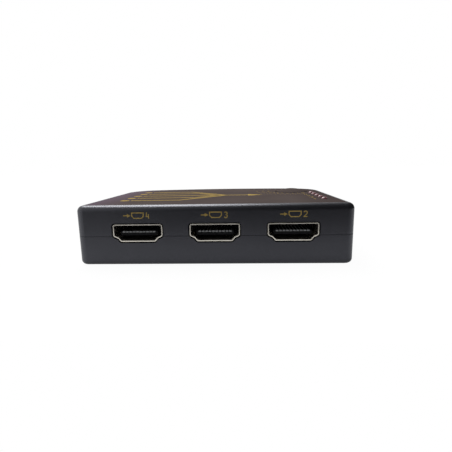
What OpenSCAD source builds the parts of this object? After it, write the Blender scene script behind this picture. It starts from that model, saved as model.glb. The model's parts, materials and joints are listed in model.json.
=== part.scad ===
// HDMI switch box: five inputs, one output, a select button and a remote-control window
// X runs along the back panel, Y runs from the back panel to the bowed front, Z is up, sizes in millimetres
// The origin is at the middle of the underside

/* [Case] */
// Width across the two side ports
case_w = 81; // [79:0.5:92]
// Depth from the back panel to the middle of the bowed front
case_d = 60.5; // [57:0.5:66]
// Height of the closed case
case_h = 17.8; // [17.4:0.1:21]
// Thickness of the walls, floor and roof
wall = 1.8; // [1.6:0.1:2.2]
// Plan radius of the two corners beside the back panel
back_corner_r = 2.5; // [2.5:0.1:6]
// Plan radius of the two corners beside the bowed front
front_corner_r = 13; // [12:0.5:18]
// Plan radius of the bowed front
front_bow_r = 150; // [130:5:220]
// Rounding of the edge around the roof
top_edge_r = 1.8; // [1:0.1:2.2]
// Rounding of the edge around the floor
bottom_edge_r = 1.4; // [0.4:0.1:1.6]

/* [Parting line] */
// Distance of the parting line below the ports' middle
seam_below_port = 1; // [0.6:0.1:1.4]
// Height of the open groove that shows at the parting line
groove_h = 0.1; // [0.1:0.05:0.4]
// Depth of that groove from the outer face
groove_depth = 0.6; // [0.3:0.05:0.7]
// Thickness of the lap lip on the bottom cover
lip_t = 0.7; // [0.5:0.05:0.8]
// Height of the lap lip above the groove
lip_h = 1.4; // [0.8:0.1:2]
// Play between the lap lip and the top shell
lip_gap = 0.1; // [0.05:0.05:0.2]

/* [Ports] */
// Distance of the outer ports on the back panel from the sides of the case
port_from_side = 17.9; // [17.5:0.1:20]
// Distance of the back row's middle port from the middle of the case
port_row_x = 0.35; // [0:0.05:0.6]
// Distance of the ports' middle below the roof
port_from_top = 8.1; // [7.9:0.05:8.4]
// Place of the two side ports along Y
side_port_y = -3; // [-4.5:0.5:-2]
// Distance of a port's mouth behind the outer face
port_setback = 0.2; // [0.1:0.05:0.6]
// Clearance between a port and the case
port_gap = 0.35; // [0.3:0.05:0.6]

/* [HDMI receptacle] */
// Inner width of the mouth
socket_w = 14; // [13.8:0.05:14.2]
// Inner height of the mouth
socket_h = 4.55; // [4.4:0.05:4.7]
// Inner width along the mouth's lower edge
socket_floor_w = 9.9; // [9.2:0.1:10.2]
// Height of the mouth's straight sides
socket_side_h = 3.05; // [2.8:0.05:3.2]
// Width of the sloped step under each straight side
step_w = 1.25; // [1:0.05:1.4]
// Fall of that sloped step
step_fall = 0.55; // [0.4:0.05:0.7]
// Inner radius of the mouth's corners
socket_corner_r = 0.35; // [0.2:0.05:0.45]
// Sheet metal thickness of the shell
sheet_t = 0.3; // [0.25:0.05:0.5]
// Length of the shell from the mouth to its rear edge
shell_len = 11.2; // [10.4:0.1:12]
// Width of one shell leg along the port
leg_w = 1.2; // [0.8:0.1:1.6]
// Distance from the mouth to the front pair of legs
front_leg_at = 4.4; // [3.8:0.1:5]
// Distance from the mouth to the rear pair of legs
rear_leg_at = 9.2; // [8.2:0.1:9.6]
// Clearance of a leg in its board slot
leg_gap = 0.15; // [0.1:0.05:0.2]
// Width of one spring finger in the shell's roof
finger_w = 1.8; // [1.2:0.1:2.2]
// Length of one spring finger
finger_len = 4.2; // [3.4:0.1:4.8]
// Dip of a spring finger into the mouth
finger_dip = 0.3; // [0.15:0.05:0.4]
// Width of the tongue that carries the contacts
tongue_w = 11; // [10.6:0.1:11.4]
// Thickness of the tongue
tongue_t = 1.2; // [1:0.05:1.4]
// Height of the tongue's middle above the port's middle
tongue_z = -0.35; // [-0.5:0.05:0]
// Distance of the tongue's tip behind the mouth
tongue_setback = 1.4; // [1.2:0.1:2]
// Thickness of the block that closes the rear of the shell
block_t = 2.6; // [2:0.1:3.2]
// Contacts on the upper face of the tongue
upper_contacts = 10; // [8:1:10]
// Distance between contacts on one face of the tongue
contact_pitch = 1; // [0.95:0.05:1.05]
// Width of a contact
contact_w = 0.45; // [0.3:0.05:0.5]
// Width of an upper contact's tip, which is bent down over the end of the tongue
tip_w = 0.75; // [0.6:0.05:0.8]
// Height of that tip
tip_h = 0.4; // [0.3:0.05:0.6]
// Distance of the lower contacts' ends behind the tongue's tip
lower_set_in = 1; // [0.5:0.1:1.5]
// Sheet thickness of a contact
contact_t = 0.2; // [0.15:0.05:0.25]
// Height of a contact above the tongue's face
contact_proud = 0.05; // [0.03:0.01:0.08]
// Length of a contact's foot on the board
foot_len = 0.8; // [0.6:0.1:1]

/* [Circuit board] */
// Thickness of the board
board_t = 1.6; // [1.2:0.1:1.8]
// Clearance between the board's edge and the walls
board_gap = 0.5; // [0.3:0.05:0.8]

/* [Screws] */
// Shank diameter of a case screw
screw_d = 2.2; // [2:0.1:2.6]
// Head diameter of a case screw
screw_head_d = 4; // [3.6:0.1:4.4]
// Head height of a case screw
screw_head_h = 1.4; // [1.2:0.1:1.6]
// Depth of the counterbore that hides the head
counterbore_depth = 2; // [1.8:0.1:2.4]
// Length of thread above the board
screw_grip = 5.5; // [4:0.1:6.5]
// Depth of a screw's hole past its tip
screw_room = 0.5; // [0.3:0.1:0.8]
// Clearance around the screw in the cover and the board
screw_gap = 0.25; // [0.15:0.05:0.4]
// Wall of the post around the screw
post_wall = 1.4; // [1:0.1:1.6]
// Wall of the standoff around the counterbore
standoff_wall = 0.9; // [0.8:0.1:1]
// Distance between a standoff and the walls
standoff_inset = 0.4; // [0.3:0.1:0.8]
// Distance of the two front screws from the middle
front_screw_x = 12.5; // [12:0.25:14]
// Distance of the two front screws behind the front's middle
front_screw_inset = 8; // [7.5:0.25:9]

/* [Top label] */
// Thickness of the label film
label_t = 0.25; // [0.15:0.05:0.4]
// Width of the bare roof margin around the label
label_inset = 2; // [2:0.1:3.4]
// Clearance around the label in its recess
label_gap = 0.1; // [0.05:0.05:0.2]

/* [Select button] */
// Diameter of the button
button_d = 12; // [9:0.5:12.5]
// Height of the button's domed top above the roof
button_proud = 1.2; // [0.6:0.05:1.4]
// Height of the button's rim above the roof
button_rim = 0.1; // [0.05:0.05:0.3]
// Press travel of the button
button_travel = 0.4; // [0.25:0.05:0.6]
// Clearance around the button
button_gap = 0.3; // [0.2:0.05:0.4]
// Thickness of the button's flange
flange_t = 1; // [0.8:0.1:1.2]
// Width of the flange past the hole in the roof
flange_lap = 0.7; // [0.5:0.1:0.9]
// Diameter of the button's stem
stem_d = 4; // [3:0.25:4.5]
// Distance of the button's middle from the +X side of the case
button_from_side = 12.2; // [11.5:0.1:14.5]
// Distance of the button in front of the middle along Y
button_y = 11.25; // [11:0.25:12.5]

/* [Push switch] */
// Side length of the push switch
switch_w = 6; // [5.6:0.1:6.2]
// Height of the push switch's base
switch_base_h = 3.2; // [3:0.1:3.4]
// Thickness of the switch's cover plate
switch_cover_t = 0.3; // [0.2:0.05:0.4]
// Height of the plunger's top above the board
plunger_top = 5; // [4.6:0.1:5.4]
// Diameter of the plunger
plunger_d = 3.5; // [3:0.1:3.8]
// Clearance around the plunger
plunger_gap = 0.25; // [0.15:0.05:0.3]
// Thickness of the switch's floor
switch_floor_t = 1.2; // [1:0.1:1.4]
// Height of the snap dome
dome_h = 0.8; // [0.7:0.05:0.9]
// Thickness of the snap dome
dome_t = 0.1; // [0.08:0.01:0.12]

/* [Indicators] */
// Count of indicators, one for each input
led_count = 5; // [3:1:5]
// Distance between neighbouring indicators
led_pitch = 5.15; // [4.6:0.05:5.3]
// Diameter of an indicator's tip
led_d = 1.8; // [1.6:0.1:2.2]
// Height of an indicator's tip above the roof
led_proud = 0.6; // [0.3:0.1:0.8]
// Clearance around an indicator's tip
led_gap = 0.1; // [0.05:0.05:0.15]
// Distance of the indicator row from the +X side of the case
led_from_side = 6.2; // [5.8:0.1:8]
// Distance of the last indicator behind the button's middle
led_to_button = 8.9; // [8.6:0.1:9.6]
// Width and thickness of the light guide's arms
guide_t = 2; // [1.6:0.1:2.2]
// Diameter of the two pins that locate the light guide
guide_pin_d = 1; // [0.8:0.1:1.1]
// Length of those pins past the light guide
guide_pin_past = 0.4; // [0.2:0.1:0.6]
// Height of an LED chip
led_chip_h = 0.6; // [0.5:0.1:0.8]
// Clearance between an LED chip and the light guide
led_chip_gap = 0.15; // [0.1:0.05:0.3]

/* [Remote-control window] */
// Distance of the window from the middle
ir_x = 20.5; // [19:0.25:21]
// Diameter of the window
ir_window_d = 5; // [4.5:0.1:5.4]
// Thickness of the window's inner flange
ir_flange_t = 0.8; // [0.6:0.1:1]
// Clearance around the window in the wall
ir_gap = 0.1; // [0.05:0.05:0.15]
// Width of the receiver
ir_body_w = 5.2; // [4.8:0.1:5.6]
// Thickness of the receiver
ir_body_t = 2.8; // [2.4:0.1:3.2]
// Height of the receiver
ir_body_h = 6.4; // [6:0.1:6.8]
// Height of the receiver above the board
ir_lift = 1; // [0.8:0.1:1.2]
// Radius of the receiver's lens
ir_lens_r = 1.6; // [1.4:0.1:1.8]

/* [Power jack] */
// Distance of the jack from the middle
jack_x = 21; // [20.5:0.25:22]
// Width of the jack's housing
jack_w = 6.4; // [6:0.1:6.8]
// Height of the jack's housing
jack_h = 6.2; // [6:0.1:6.6]
// Length of the jack's housing behind the wall
jack_len = 9; // [8:0.25:10]
// Outer diameter of the jack's nose
jack_nose_d = 5.4; // [5:0.1:5.6]
// Clearance around the nose in the wall
jack_gap = 0.3; // [0.2:0.05:0.4]
// Diameter of the jack's bore
jack_bore_d = 3.7; // [3.5:0.1:4]
// Diameter of the centre pin
jack_pin_d = 1.3; // [1.1:0.1:1.5]
// Distance of the centre pin's tip behind the jack's mouth
jack_pin_set_in = 1.2; // [0.8:0.1:1.6]
// Thickness of the centre pin's tail behind the housing
jack_tail_t = 0.4; // [0.3:0.05:0.5]
// Width of that tail
jack_tail_w = 2; // [1.6:0.1:2.4]
// Thickness of the wall behind the bore
jack_end_t = 1.2; // [1:0.1:1.6]

/* [Board parts] */
// Side length of the switch chip
chip_w = 12; // [10:0.5:13]
// Thickness of the switch chip
chip_t = 1.4; // [1:0.1:1.6]
// Leads along each side of the switch chip
chip_leads = 12; // [8:1:14]
// Diameter of the power capacitor's can
can_d = 5; // [4:0.25:5.5]
// Height of the power capacitor's can
can_h = 5.4; // [4:0.2:5.8]
// Thickness of the power capacitor's base
can_base_t = 0.6; // [0.4:0.1:0.8]
// Rounding of the can's upper edge
can_edge_r = 0.4; // [0.2:0.1:0.6]
// Length of the crystal's can
crystal_len = 10; // [8:0.5:10]
// Width of the crystal's can
crystal_w = 4; // [3.4:0.1:4.6]
// Height of the crystal's can
crystal_h = 3.2; // [2.5:0.1:3.5]
// Length of the controller chip
controller_len = 5; // [4.8:0.1:5.4]
// Width of the controller chip
controller_w = 4; // [3.8:0.1:4.4]
// Width of the voltage regulator
regulator_w = 6.4; // [6:0.1:6.8]
// Depth of the voltage regulator
regulator_d = 3.5; // [3.2:0.1:3.8]
// Height of the controller chip and the voltage regulator
small_chip_h = 1.6; // [1.2:0.1:1.8]
// Length of a small capacitor or resistor
small_len = 1.6; // [1.4:0.1:1.8]
// Width of a small capacitor or resistor
small_w = 0.8; // [0.7:0.1:0.9]
// Height of a small capacitor
small_capacitor_h = 0.8; // [0.6:0.05:0.9]
// Height of a small resistor
small_resistor_h = 0.45; // [0.35:0.05:0.6]
// Distance between neighbouring small parts
small_pitch = 2.4; // [2:0.1:2.6]
// Distance of the small resistors in front of the switch chip
resistor_from_chip = 3; // [2.5:0.1:3.4]
// Distance of the surge arrays behind a port's contact feet
surge_behind = 3.3; // [2.5:0.1:3.5]
// Distance of a surge array beside the middle of its port
surge_beside = 3; // [2:0.1:3.5]
// Width of a surge array
surge_w = 2.5; // [2:0.1:2.8]
// Depth of a surge array
surge_d = 1; // [0.8:0.1:1.2]
// Height of a surge array
surge_h = 0.55; // [0.4:0.05:0.7]

/* [Hidden] */
$fa = 4;
$fs = 0.15;

// A hundredth of a millimetre is the finest step for a worked-out place
function neat(v) = round(v * 100) / 100;

// Height of the ports' middle and of the parting line that crosses them
port_z = neat(case_h - port_from_top);
seam_z = neat(port_z - seam_below_port);
// Height at which the two case halves would meet with no groove, which is where the inner lands touch
land_z = seam_z + groove_h;
// Underside of the roof
ceiling_z = case_h - wall;
// Upper and lower faces of the circuit board, under the shells of the ports
board_top = port_z - socket_h / 2 - sheet_t;
board_bottom = board_top - board_t;

// The front corners stand this far past the bow, so that the two surfaces cross cleanly
corner_past_bow = 0.1;
corner_x = case_w / 2 - front_corner_r;
bow_y = case_d / 2 - front_bow_r;
corner_reach = front_bow_r - front_corner_r + corner_past_bow;
corner_y = neat(bow_y + sqrt(corner_reach * corner_reach - corner_x * corner_x));
bow_half_w = neat(corner_x + front_corner_r * corner_x / corner_reach);
back_y = -case_d / 2;

// Y of the bowed front at a given X, for a surface set in by some distance
function front_y(x, inset = 0) = neat(bow_y + sqrt((front_bow_r - inset) * (front_bow_r - inset) - x * x));

// Outer sizes of a port's shell
shell_w = socket_w + 2 * sheet_t;
shell_h = socket_h + 2 * sheet_t;

// Places along X that keep their distance from the sides of the case
port_pitch = neat(case_w / 2 - port_from_side);
button_x = neat(case_w / 2 - button_from_side);
led_x = neat(case_w / 2 - led_from_side);
side_feet_x = case_w / 2 - port_setback - shell_len - foot_len - contact_t;
surge_x = side_feet_x + contact_t - surge_behind;

// Each port's mouth: place in plan, and turn about Z that points the mouth outwards
port_in_1 = [[case_w / 2 - port_setback, side_port_y], 90];
port_in_2 = [[port_row_x + port_pitch, back_y + port_setback], 0];
port_in_3 = [[port_row_x, back_y + port_setback], 0];
port_in_4 = [[port_row_x - port_pitch, back_y + port_setback], 0];
port_in_5 = [[-case_w / 2 + port_setback, side_port_y], -90];
port_out = [[0, front_y(shell_w / 2) - port_setback], 180];
ports = [port_in_1, port_in_2, port_in_3, port_in_4, port_in_5, port_out];

// Screw places
standoff_d = screw_head_d + 2 * screw_gap + 2 * standoff_wall;
post_d = screw_d + 2 * post_wall;
screw_from_wall = wall + standoff_inset + standoff_d / 2;
back_screw_x = case_w / 2 - screw_from_wall;
back_screw_y = back_y + screw_from_wall;
front_screw_y = case_d / 2 - front_screw_inset;
screws = [
    [back_screw_x, back_screw_y],
    [-back_screw_x, back_screw_y],
    [front_screw_x, front_screw_y],
    [-front_screw_x, front_screw_y],
];

// Indicators: the middle ones stand over a side port, so their light comes from further in
led_first_y = neat(button_y - led_to_button - (led_count - 1) * led_pitch);
led_ys = [for (i = [0:led_count - 1]) led_first_y + i * led_pitch];
guide_in_x = side_feet_x - 0.5 - guide_t / 2;
guide_rail_x = (guide_in_x + led_x) / 2;
over_port = shell_w / 2 + guide_t / 2 + 0.4;
function leg_x(y) = abs(y - side_port_y) < over_port ? guide_in_x : led_x;
guide_pin_ys = [led_first_y + led_pitch / 2, led_first_y + (led_count - 1.5) * led_pitch];

// Button and push switch heights
button_hole_r = button_d / 2 + button_gap;
flange_r = button_hole_r + flange_lap;
flange_top = ceiling_z - 0.1;
stem_bottom = board_top + plunger_top;
dome_r = switch_w / 2 - 1;
plunger_flange_r = plunger_d / 2 + plunger_gap + 0.2;
plunger_flange_t = 0.6;
cavity_r = switch_w / 2 - 0.5;

// Remote-control window and receiver
ir_z = neat(board_top + ir_lift + ir_body_h / 2 + 0.4);
ir_flange_r = ir_window_d / 2 + ir_gap + 0.6;
ir_flange_y = front_y(ir_x + ir_flange_r, wall) - 0.05;
ir_face_y = ir_flange_y - ir_flange_t - 0.4 - ir_lens_r;

// Power jack
jack_z = neat(board_top + jack_h / 2);
jack_mouth_y = front_y(jack_x + jack_nose_d / 2) - port_setback;
jack_face_y = front_y(jack_x + jack_w / 2, wall) - 0.3;
jack_back_y = jack_face_y - jack_len;

// Colours
case_black = [0.10, 0.10, 0.11];
label_black = [0.16, 0.14, 0.14];
steel = [0.62, 0.60, 0.55];
bright_metal = [0.75, 0.74, 0.70];
gold = [0.80, 0.66, 0.30];
board_green = [0.05, 0.30, 0.16];
insulator_black = [0.05, 0.05, 0.05];
chip_black = [0.08, 0.08, 0.09];
red_clear = [0.75, 0.08, 0.10];
dark_red = [0.18, 0.02, 0.04];

// Rounded outlines

// Outward direction of the edge from one point to the next, for points listed anticlockwise
function outward(from, to) = [to.y - from.y, from.x - to.x] / norm(to - from);
// Sum of the outward directions at a corner, scaled to reach a parallel outline one unit away
function corner_out(a, b) = (a + b) / (1 + a * b);
// An outline moved outwards on every side
function grown(points, by) = [
    for (i = [0:len(points) - 1])
        let (before = points[(i + len(points) - 1) % len(points)], after = points[(i + 1) % len(points)])
            points[i] + by * corner_out(outward(before, points[i]), outward(points[i], after))
];
// Turn from one direction to another, between -180 and 180 degrees
function turn(a, b) = atan2(a.x * b.y - a.y * b.x, a * b);
// One corner drawn as a short arc, convex or hollow
function arc_at(before, here, after, r, steps) =
    let (
        a = outward(before, here),
        b = outward(here, after),
        bend = turn(a, b),
        side = bend > 0 ? 1 : -1,
        start = atan2(a.y, a.x),
        middle = here - side * r * corner_out(a, b)
    )
    [for (k = [0:steps]) middle + side * r * [cos(start + bend * k / steps), sin(start + bend * k / steps)]];
// An outline with every corner rounded, where hollow corners take their own radius
function rounded(points, convex_r, hollow_r, steps = 4) = [
    for (i = [0:len(points) - 1])
        let (
            before = points[(i + len(points) - 1) % len(points)],
            after = points[(i + 1) % len(points)],
            hollow = turn(outward(before, points[i]), outward(points[i], after)) < 0
        )
        each arc_at(before, points[i], after, hollow ? hollow_r : convex_r, steps)
];

// Inner corners of an HDMI mouth, seen from outside, anticlockwise from the lower left
step_top = socket_h / 2 - socket_side_h;
socket_corners = [
    [-socket_floor_w / 2, -socket_h / 2],
    [socket_floor_w / 2, -socket_h / 2],
    [socket_w / 2 - step_w, step_top - step_fall],
    [socket_w / 2, step_top],
    [socket_w / 2, socket_h / 2],
    [-socket_w / 2, socket_h / 2],
    [-socket_w / 2, step_top],
    [-socket_w / 2 + step_w, step_top - step_fall],
];

module socket_outline(by) {
    polygon(rounded(grown(socket_corners, by), socket_corner_r + by, max(0.15, 0.6 - by)));
}

// Plan of the case, set in from the outer face
module case_outline(inset) {
    half_w = case_w / 2 - inset;
    back_r = max(0.4, back_corner_r - inset);
    rear = back_y + inset;
    front_r = front_corner_r - inset;
    translate([-half_w, rear + back_r]) square([2 * half_w, corner_y - rear - back_r]);
    translate([-half_w + back_r, rear]) square([2 * (half_w - back_r), back_r]);
    for (flip = [0, 1]) mirror([flip, 0]) {
        translate([half_w - back_r, rear + back_r]) intersection() {
            circle(back_r);
            translate([0, -back_r]) square(back_r);
        }
        translate([corner_x, corner_y]) intersection() {
            circle(front_r);
            square(front_r);
        }
    }
    intersection() {
        translate([0, bow_y]) circle(front_bow_r - inset, $fn = 256);
        translate([-bow_half_w, corner_y]) square([2 * bow_half_w, front_corner_r * 2]);
    }
}

module case_prism(inset, from_z, to_z) {
    translate([0, 0, from_z]) linear_extrude(to_z - from_z) case_outline(inset);
}

// Section through the rim of a case half: a strip of wall with its outer upper and lower edges rounded
module rim_section(depth, height, upper_r, lower_r) {
    translate([0, lower_r]) square([depth, height - upper_r - lower_r]);
    if (lower_r > 0) {
        square([depth - lower_r, lower_r]);
        translate([depth - lower_r, lower_r]) intersection() {
            circle(lower_r);
            translate([0, -lower_r]) square(lower_r);
        }
    }
    if (upper_r > 0) {
        translate([0, height - upper_r]) square([depth - upper_r, upper_r]);
        translate([depth - upper_r, height - upper_r]) intersection() {
            circle(upper_r);
            square(upper_r);
        }
    }
}

// Solid block with the plan of the case and rounded upper or lower edges
module case_block(from_z, to_z, upper_r, lower_r) {
    rim_flat = 0.6;
    depth = min(back_corner_r, max(upper_r, lower_r) + rim_flat);
    height = to_z - from_z;
    case_prism(depth - rim_flat / 2, from_z, to_z);
    translate([0, 0, from_z]) {
        straight_rim(case_w - 2 * back_corner_r, [-case_w / 2 + back_corner_r, back_y + depth], 0)
            rim_section(depth, height, upper_r, lower_r);
        for (flip = [0, 1]) mirror([flip, 0, 0]) {
            straight_rim(corner_y - back_y - back_corner_r, [case_w / 2 - depth, back_y + back_corner_r], 90)
                rim_section(depth, height, upper_r, lower_r);
            translate([case_w / 2 - back_corner_r, back_y + back_corner_r]) rotate([0, 0, -90])
                rotate_extrude(angle = 90) translate([back_corner_r - depth, 0])
                    rim_section(depth, height, upper_r, lower_r);
            translate([corner_x, corner_y])
                rotate_extrude(angle = 90) translate([front_corner_r - depth, 0])
                    rim_section(depth, height, upper_r, lower_r);
        }
        intersection() {
            translate([0, bow_y]) rotate_extrude($fn = 256) translate([front_bow_r - depth, 0])
                rim_section(depth, height, upper_r, lower_r);
            translate([-bow_half_w, corner_y, -1])
                cube([2 * bow_half_w, front_corner_r * 2, height + 2]);
        }
    }
}

// A straight run of rim from a place in plan, where a turn of 0 faces the back and 90 faces +X
module straight_rim(length, at, facing) {
    translate(at) rotate([0, 0, facing]) rotate([90, 0, 90]) mirror([1, 0, 0])
        linear_extrude(length) children();
}

// Everything that stands at a port is drawn with its mouth at the origin, facing -Y
module at_port(port) {
    translate([port[0].x, port[0].y, port_z]) rotate([0, 0, port[1]]) children();
}

// A length of an outline drawn in X and Z, running along Y
module along_y(from_y, to_y) {
    translate([0, to_y, 0]) rotate([90, 0, 0]) linear_extrude(to_y - from_y) children();
}

// A width of an outline drawn in Y and Z, centred on a place along X
module across_x(at, width) {
    translate([at - width / 2, 0, 0]) rotate([90, 0, 90]) linear_extrude(width) children();
}

module box_on(at, size) {
    translate([at.x - size.x / 2, at.y - size.y / 2, at.z]) cube(size);
}

// Case

module wall_cuts() {
    for (port = ports) at_port(port) along_y(-2, wall + 1) socket_outline(sheet_t + port_gap);
    at_jack() translate([0, 0, jack_face_y]) cylinder(d = jack_nose_d + 2 * jack_gap, h = case_d);
    translate([ir_x, ir_face_y, ir_z]) rotate([-90, 0, 0]) cylinder(d = ir_window_d + 2 * ir_gap, h = case_d);
}

module top_shell() {
    into_roof = wall / 2;
    pin_z = ceiling_z - guide_t - guide_pin_past;
    color(case_black) difference() {
        union() {
            difference() {
                case_block(land_z, case_h, top_edge_r, 0);
                case_prism(wall, land_z - 1, ceiling_z);
                case_prism(wall - lip_t - lip_gap, land_z - 1, land_z + lip_h + lip_gap);
            }
            for (at = screws) translate([at.x, at.y, board_top])
                cylinder(d = post_d, h = ceiling_z + into_roof - board_top);
            for (y = guide_pin_ys) translate([guide_rail_x, y, pin_z])
                cylinder(d = guide_pin_d, h = ceiling_z + into_roof - pin_z);
        }
        case_prism(label_inset, case_h - label_t, case_h + 1);
        for (at = screws) translate([at.x, at.y, board_top - 1])
            cylinder(d = screw_d, h = 1 + screw_grip + screw_room);
        for (y = led_ys) translate([led_x, y, ceiling_z - 1]) cylinder(d = led_d + 2 * led_gap, h = case_h);
        translate([button_x, button_y, ceiling_z - 1]) cylinder(r = button_hole_r, h = case_h);
        wall_cuts();
    }
}

module bottom_cover() {
    color(case_black) difference() {
        union() {
            difference() {
                union() {
                    case_block(0, seam_z, 0, bottom_edge_r);
                    case_prism(groove_depth, seam_z - 1, land_z);
                }
                case_prism(wall, wall, land_z + 1);
            }
            difference() {
                case_prism(wall - lip_t, seam_z - 1, land_z + lip_h);
                case_prism(wall, seam_z - 2, land_z + lip_h + 1);
            }
            for (at = screws) translate([at.x, at.y, wall / 2])
                cylinder(d = standoff_d, h = board_bottom - wall / 2);
        }
        for (at = screws) translate([at.x, at.y, -1]) {
            cylinder(d = screw_head_d + 2 * screw_gap, h = counterbore_depth + 1);
            cylinder(d = screw_d + 2 * screw_gap, h = board_top + 1);
        }
        wall_cuts();
    }
}

module top_label() {
    color(label_black) difference() {
        case_prism(label_inset + label_gap, case_h - label_t, case_h);
        for (y = led_ys) translate([led_x, y, ceiling_z]) cylinder(d = led_d + 4 * led_gap, h = case_h);
        translate([button_x, button_y, ceiling_z]) cylinder(r = button_hole_r + label_gap, h = case_h);
    }
}

// Pan-head screws driven from below, with a cross recess
module case_screws() {
    seat = counterbore_depth;
    color(steel) for (at = screws) translate([at.x, at.y, 0]) difference() {
        union() {
            translate([0, 0, seat - screw_head_h]) cylinder(d = screw_head_d, h = screw_head_h);
            translate([0, 0, seat - 0.2]) cylinder(d = screw_d, h = board_top - seat + 0.2 + screw_grip);
        }
        for (a = [0, 90]) rotate([0, 0, a])
            box_on([0, 0, seat - screw_head_h - 1], [screw_head_d * 0.6, 0.5, 1 + screw_head_h * 0.6]);
    }
}

// Select button and push switch

module select_button() {
    button_r = button_d / 2;
    crown = button_proud - button_rim;
    crown_r = neat((button_r * button_r + crown * crown) / (2 * crown));
    from_z = flange_top - flange_t / 2;
    height = case_h + button_proud - from_z;
    color(label_black) translate([button_x, button_y, 0]) {
        translate([0, 0, stem_bottom]) cylinder(d = stem_d, h = from_z - stem_bottom);
        translate([0, 0, flange_top - flange_t]) cylinder(r = flange_r, h = flange_t);
        translate([0, 0, from_z]) rotate_extrude() intersection() {
            square([button_r, height]);
            translate([0, height - crown_r]) circle(crown_r);
        }
    }
}

module at_switch() {
    translate([button_x, button_y, board_top]) children();
}

module switch_base() {
    color(chip_black) at_switch() difference() {
        box_on([0, 0, 0], [switch_w, switch_w, switch_base_h]);
        translate([0, 0, switch_floor_t]) cylinder(r = cavity_r, h = switch_base_h);
    }
}

module switch_cover() {
    color(bright_metal) at_switch() difference() {
        box_on([0, 0, switch_base_h], [switch_w, switch_w, switch_cover_t]);
        cylinder(r = plunger_d / 2 + plunger_gap, h = switch_base_h + 1);
    }
}

// Thin cap of a sphere that snaps flat when the plunger comes down
module switch_dome() {
    sphere_r = neat((dome_r * dome_r + dome_h * dome_h) / (2 * dome_h));
    color(bright_metal) at_switch() translate([0, 0, switch_floor_t]) rotate_extrude() intersection() {
        square([dome_r, dome_h]);
        translate([0, dome_h - sphere_r]) difference() {
            circle(sphere_r);
            circle(sphere_r - dome_t);
        }
    }
}

module switch_plunger() {
    nub_bottom = switch_floor_t + dome_h + 0.05;
    flange_base = switch_base_h - 0.2 - plunger_flange_t;
    color(insulator_black) at_switch() {
        translate([0, 0, nub_bottom]) cylinder(r = 0.8, h = flange_base - nub_bottom + 0.1);
        translate([0, 0, flange_base]) cylinder(r = plunger_flange_r, h = plunger_flange_t);
        translate([0, 0, flange_base + 0.1]) cylinder(d = plunger_d, h = plunger_top - flange_base - 0.1);
    }
}

// Four gull-wing terminals on the sides of the switch
module switch_terminals() {
    color(bright_metal) at_switch() for (flip = [0, 1], x = [-1, 1]) mirror([0, flip, 0])
        across_x(x * switch_w * 0.37, 0.7) polygon([
            [switch_w / 2, 0.9],
            [switch_w / 2 + 0.3, 0.9],
            [switch_w / 2 + 0.3, 0.2],
            [switch_w / 2 + 1, 0.2],
            [switch_w / 2 + 1, 0],
            [switch_w / 2, 0],
        ]);
}

// Indicators

// One clear moulding: five domed tips, arms under the roof, a rail that joins them and legs down to the LEDs
module light_guide() {
    arm_z = ceiling_z - guide_t;
    foot_z = board_top + led_chip_h + led_chip_gap;
    rail_from = led_first_y - guide_t / 2;
    rail_to = led_ys[led_count - 1] + guide_t / 2;
    tip_r = led_d / 2;
    color(red_clear) difference() {
        union() {
            translate([guide_rail_x - guide_t / 2, rail_from, arm_z])
                cube([guide_t, rail_to - rail_from, guide_t]);
            for (y = led_ys) {
                from_x = min(leg_x(y), guide_rail_x) - guide_t / 2;
                translate([from_x, y - guide_t / 2, arm_z])
                    cube([led_x + guide_t / 2 - from_x, guide_t, guide_t]);
                box_on([leg_x(y), y, foot_z], [guide_t, guide_t, ceiling_z - foot_z]);
                translate([led_x, y, ceiling_z - guide_t / 2]) rotate_extrude()
                    rim_section(tip_r, case_h + led_proud - ceiling_z + guide_t / 2, tip_r * 0.75, 0);
            }
        }
        for (y = guide_pin_ys) translate([guide_rail_x, y, arm_z - 1])
            cylinder(d = guide_pin_d + 2 * led_gap, h = guide_t + 2);
    }
}

module indicator_leds() {
    color([0.9, 0.85, 0.7]) for (y = led_ys) box_on([leg_x(y), y, board_top], [1.2, 1.8, led_chip_h]);
}

// Remote-control receiver

// A dark plug whose face follows the bowed wall, with a flange behind the wall
module ir_window() {
    color(dark_red) intersection() {
        translate([ir_x, ir_flange_y, ir_z]) rotate([-90, 0, 0]) {
            translate([0, 0, -ir_flange_t]) cylinder(r = ir_flange_r, h = ir_flange_t);
            translate([0, 0, -ir_flange_t / 2]) cylinder(d = ir_window_d, h = wall * 3);
        }
        case_prism(0.1, 0, case_h);
    }
}

module ir_receiver() {
    base_z = board_top + ir_lift;
    color(chip_black) {
        translate([ir_x - ir_body_w / 2, ir_face_y - ir_body_t, base_z])
            cube([ir_body_w, ir_body_t, ir_body_h]);
        translate([ir_x, ir_face_y - 0.5, ir_z]) rotate([-90, 0, 0])
            cylinder(r = ir_lens_r, h = 0.5 + ir_lens_r / 2);
        translate([ir_x, ir_face_y + ir_lens_r / 2, ir_z]) rotate([-90, 0, 0])
            rotate_extrude() intersection() {
                translate([0, -ir_lens_r / 2]) circle(ir_lens_r * 1.118);
                square(ir_lens_r);
            }
    }
}

module ir_leads() {
    middle_y = ir_face_y - ir_body_t / 2;
    color(bright_metal) for (i = [-1:1]) across_x(ir_x + i * 1.5, 0.5) polygon([
        [middle_y - 0.2, board_top + ir_lift],
        [middle_y - 0.2, board_top + 0.3],
        [middle_y - 1.4, board_top + 0.3],
        [middle_y - 1.4, board_top],
        [middle_y + 0.2, board_top],
        [middle_y + 0.2, board_top + ir_lift],
    ]);
}

// Power jack

module at_jack() {
    translate([-jack_x, 0, jack_z]) rotate([-90, 0, 0]) children();
}

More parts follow.
